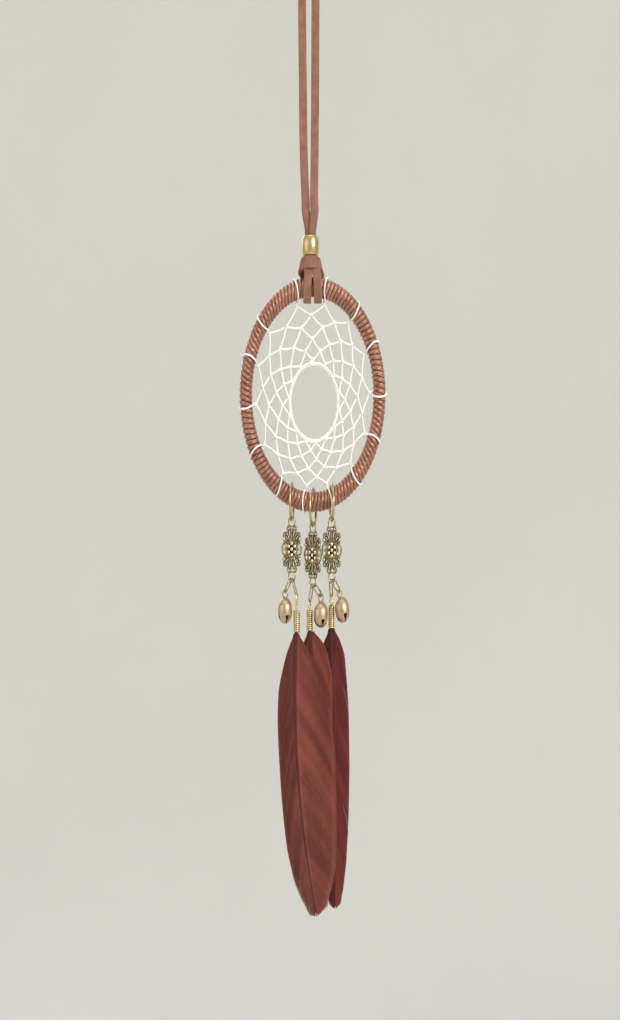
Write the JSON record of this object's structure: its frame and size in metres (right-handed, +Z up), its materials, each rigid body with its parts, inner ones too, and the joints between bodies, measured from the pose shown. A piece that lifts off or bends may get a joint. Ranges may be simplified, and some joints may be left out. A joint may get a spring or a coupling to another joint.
{
  "type": "dream catcher",
  "caption": "Round cord-wrapped hoop with a woven thread web, hung on a suede lace, with pendants of filigree connector, jingle bell and feather.",
  "frame": {"origin": "the hanging point: between the two strands of the lace, just under its top knot, where a nail, hook or mirror stalk carries the loop", "axes": "+Z up along the lace, -Y out of the front of the hoop, +X to the right as seen from the front"},
  "size_m": [0.056, 0.0094, 0.2337],
  "materials": {
    "lace": "matt suede, dusty brown",
    "wrap": "satin waxed cord, copper brown",
    "core": "drawn wire",
    "thread": "waxed off-white thread",
    "bead": "polished, lightly aged",
    "ring": "polished wire",
    "connector": "antique bronze, dark in the hollows",
    "bell": "satin",
    "pellet": "plain",
    "coil": "polished wire",
    "shaft": "dyed quill",
    "vane_left": "dyed goose feather, dusty red",
    "vane_middle": "dyed goose feather, dusty red",
    "vane_right": "dyed goose feather, maroon"
  },
  "bodies": {
    "lace": {"lace_left": "lace", "lace_right": "lace", "lace_knot": "lace"},
    "hitch": {"lace_hitch": "lace"},
    "bead": {"lace_bead": "bead"},
    "hoop": {"hoop_core": "core", "hoop_wrap": "wrap", "web": "thread", "web_hitches": "thread"},
    "jump_ring_left": {"jump_ring_left": "ring"},
    "connector_left": {"connector_left": "connector"},
    "bell_ring_left": {"bell_ring_left": "ring"},
    "bell_left": {"bell_left": "bell"},
    "pellet_left": {"bell_pellet_left": "pellet"},
    "feather_link_left": {"feather_link_left": "ring"},
    "feather_left": {"feather_coil_left": "coil", "feather_shaft_left": "shaft", "feather_vane_left": "vane_left"},
    "jump_ring_middle": {"jump_ring_middle": "ring"},
    "connector_middle": {"connector_middle": "connector"},
    "bell_ring_middle": {"bell_ring_middle": "ring"},
    "bell_middle": {"bell_middle": "bell"},
    "pellet_middle": {"bell_pellet_middle": "pellet"},
    "feather_link_middle": {"feather_link_middle": "ring"},
    "feather_middle": {"feather_coil_middle": "coil", "feather_shaft_middle": "shaft", "feather_vane_middle": "vane_middle"},
    "jump_ring_right": {"jump_ring_right": "ring"},
    "connector_right": {"connector_right": "connector"},
    "bell_ring_right": {"bell_ring_right": "ring"},
    "bell_right": {"bell_right": "bell"},
    "pellet_right": {"bell_pellet_right": "pellet"},
    "feather_link_right": {"feather_link_right": "ring"},
    "feather_right": {"feather_coil_right": "coil", "feather_shaft_right": "shaft", "feather_vane_right": "vane_right"}
  },
  "joints": [
    {"name": "lace_twist", "type": "hinge", "parent": "lace", "child": "hitch", "pos_m": [0.00045, 0, -0.0644], "axis": [0, 0, 1], "range_deg": [-75, 75], "stiffness_Nm_per_rad": 0.00001},
    {"name": "bead_slide", "type": "slide", "parent": "lace", "child": "bead", "axis": [0, 0, 1], "range_m": [0, 0.016], "deforming": ["lace_left", "lace_right"]},
    {"name": "hoop_swing", "type": "hinge", "parent": "hitch", "child": "hoop", "pos_m": [0.0012, 0, -0.07095], "axis": [1, 0, 0], "range_deg": [-45, 45]},
    {"name": "ring_left_swing", "type": "hinge", "parent": "hoop", "child": "jump_ring_left", "pos_m": [-0.0066, 0, -0.1198], "axis": [1, 0, 0], "range_deg": [-45, 45]},
    {"name": "connector_left_swing", "type": "hinge", "parent": "jump_ring_left", "child": "connector_left", "pos_m": [-0.0066, 0, -0.12518], "axis": [0, 1, 0], "range_deg": [0, 40]},
    {"name": "bell_ring_left_swing", "type": "hinge", "parent": "connector_left", "child": "bell_ring_left", "pos_m": [-0.0066, 0, -0.13962], "axis": [1, 0, 0], "range_deg": [-18, 18]},
    {"name": "bell_left_turn", "type": "hinge", "parent": "bell_ring_left", "child": "bell_left", "pos_m": [-0.0091, 0.0002, -0.14212], "axis": [0, 0, 1], "range_deg": [-25, 25]},
    {"name": "pellet_left_rattle", "type": "slide", "parent": "bell_left", "child": "pellet_left", "axis": [0, 0, 1], "range_m": [0, 0.002]},
    {"name": "feather_link_left_swing", "type": "hinge", "parent": "connector_left", "child": "feather_link_left", "pos_m": [-0.0066, 0, -0.13962], "axis": [1, 0, 0], "range_deg": [-12, 12]},
    {"name": "feather_left_swing", "type": "hinge", "parent": "feather_link_left", "child": "feather_left", "pos_m": [-0.00475, -0.00085, -0.14223], "axis": [0.9613, -0.2756, 0], "range_deg": [-30, 5], "deforming": ["feather_vane_left"]},
    {"name": "ring_middle_swing", "type": "hinge", "parent": "hoop", "child": "jump_ring_middle", "pos_m": [0.0014, 0, -0.12105], "axis": [1, 0, 0], "range_deg": [-45, 45]},
    {"name": "connector_middle_turn", "type": "hinge", "parent": "jump_ring_middle", "child": "connector_middle", "pos_m": [0.0014, 0, -0.12699], "axis": [0, 0, 1], "range_deg": [-15, 10]},
    {"name": "bell_ring_middle_swing", "type": "hinge", "parent": "connector_middle", "child": "bell_ring_middle", "pos_m": [0.0014, 0, -0.14099], "axis": [0.866, -0.5, 0], "range_deg": [-18, 8]},
    {"name": "bell_middle_turn", "type": "hinge", "parent": "bell_ring_middle", "child": "bell_middle", "pos_m": [0.00425, -0.0013, -0.14298], "axis": [0, 0, 1], "range_deg": [-25, 25]},
    {"name": "pellet_middle_rattle", "type": "slide", "parent": "bell_middle", "child": "pellet_middle", "axis": [0, 0, 1], "range_m": [0, 0.002]},
    {"name": "feather_link_middle_swing", "type": "hinge", "parent": "connector_middle", "child": "feather_link_middle", "pos_m": [0.0014, 0, -0.14099], "axis": [0.866, -0.5, 0], "range_deg": [-12, 12]},
    {"name": "feather_middle_swing", "type": "hinge", "parent": "feather_link_middle", "child": "feather_middle", "pos_m": [0.0001, 0.0004, -0.14384], "axis": [0.8988, -0.4384, 0], "range_deg": [-20, 20], "deforming": ["feather_vane_middle"]},
    {"name": "ring_right_swing", "type": "hinge", "parent": "hoop", "child": "jump_ring_right", "pos_m": [0.0084, 0, -0.11999], "axis": [1, 0, 0], "range_deg": [-45, 45]},
    {"name": "connector_right_swing", "type": "hinge", "parent": "jump_ring_right", "child": "connector_right", "pos_m": [0.0084, 0, -0.12538], "axis": [0, 1, 0], "range_deg": [-40, 0]},
    {"name": "bell_ring_right_swing", "type": "hinge", "parent": "connector_right", "child": "bell_ring_right", "pos_m": [0.0084, 0, -0.13983], "axis": [1, 0, 0], "range_deg": [-18, 18]},
    {"name": "bell_right_turn", "type": "hinge", "parent": "bell_ring_right", "child": "bell_right", "pos_m": [0.0113, 0, -0.14203], "axis": [-0.2419, 0, 0.9703], "range_deg": [-25, 25]},
    {"name": "pellet_right_rattle", "type": "slide", "parent": "bell_right", "child": "pellet_right", "axis": [-0.2419, 0, 0.9703], "range_m": [0, 0.002]},
    {"name": "feather_link_right_swing", "type": "hinge", "parent": "connector_right", "child": "feather_link_right", "pos_m": [0.0084, 0, -0.13983], "axis": [1, 0, 0], "range_deg": [-12, 12]},
    {"name": "feather_right_swing", "type": "hinge", "parent": "feather_link_right", "child": "feather_right", "pos_m": [0.00825, 0.0015, -0.14252], "axis": [0.8988, 0.4384, 0], "range_deg": [-5, 30], "deforming": ["feather_vane_right"]}
  ]
}
